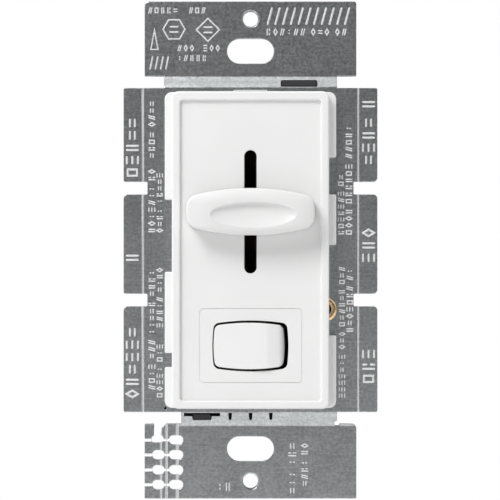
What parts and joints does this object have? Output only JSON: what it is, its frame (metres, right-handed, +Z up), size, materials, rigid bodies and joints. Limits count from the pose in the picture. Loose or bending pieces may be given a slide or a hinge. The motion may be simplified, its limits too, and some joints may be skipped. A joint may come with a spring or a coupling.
{
  "type": "dimmer slide switch",
  "caption": "Wall-box slide dimmer with a metal mounting strap, white bezel, oval slide knob, small on/off rocker and a back housing.",
  "frame": {"origin": "centre of the strap's rear plane, where its two end tabs meet the wall box", "axes": "+X to the user's right, +Z up along the slide, +Y into the wall; the face looks along -Y"},
  "size_m": [0.0532, 0.0452, 0.1042],
  "materials": {
    "strap": "mill-finish stamped sheet",
    "white_plastic": "satin-gloss moulding",
    "black_plastic": "matt moulding",
    "housing": "fine-textured thermoset moulding",
    "felt": "dense black felt",
    "copper": "bright rolled copper alloy",
    "brass": "plain strip",
    "tin": "tinned copper",
    "steel": "zinc-plated steel",
    "board": "paper-phenolic laminate",
    "phenolic": "brown phenolic moulding",
    "ferrite": "dull sintered ring",
    "enamel_wire": "enamelled copper wire",
    "film_yellow": "moulded capacitor case",
    "blue_coat": "dipped epoxy coat",
    "resistor_tan": "lacquered resistor body",
    "barrier_card": "pressed insulating card",
    "silicone_pad": "thermal interface pad"
  },
  "bodies": {
    "frame": {"mounting_strap": "strap", "face_bezel": "white_plastic", "dust_gasket": "felt", "slide_pot_housing": "black_plastic", "slide_pot_element": "phenolic", "switch_base": "phenolic", "common_terminal": "brass", "load_terminal": "brass", "ground_eyelet": "copper", "ground_lug": "tin", "insulating_barrier": "barrier_card", "triac_eyelet": "copper", "triac_pad": "silicone_pad", "triac_tab": "tin", "triac_case": "black_plastic", "triac_lead_1": "tin", "triac_lead_2": "tin", "triac_lead_3": "tin", "circuit_board": "board", "choke_core": "ferrite", "choke_winding": "enamel_wire", "filter_capacitor": "film_yellow", "timing_capacitor": "blue_coat", "diac": "blue_coat", "resistor_1": "resistor_tan", "resistor_2": "resistor_tan", "back_housing": "housing", "housing_screw_1": "steel", "housing_screw_2": "steel", "housing_screw_3": "steel", "housing_screw_4": "steel"},
    "slider": {"slider_knob": "white_plastic", "slide_lever": "black_plastic", "wiper_contact": "brass"},
    "rocker": {"rocker": "white_plastic", "rocker_plunger": "brass", "plunger_spring": "steel"},
    "contact": {"contact_lever": "copper"}
  },
  "joints": [
    {"name": "slide_travel", "type": "slide", "parent": "frame", "child": "slider", "axis": [0, 0, 1], "range_m": [-0.0108, 0.0108]},
    {"name": "rocker_tilt", "type": "hinge", "parent": "frame", "child": "rocker", "pos_m": [0, -0.0036, -0.01995], "axis": [0, 0, 1], "range_deg": [0, 10]},
    {"name": "contact_tilt", "type": "hinge", "parent": "frame", "child": "contact", "pos_m": [0, 0.0086, -0.01995], "axis": [0, 0, 1], "range_deg": [-15, 0]}
  ],
  "couplings": [
    {"joint": "contact_tilt", "follows": "rocker_tilt", "ratio": -1.5}
  ]
}
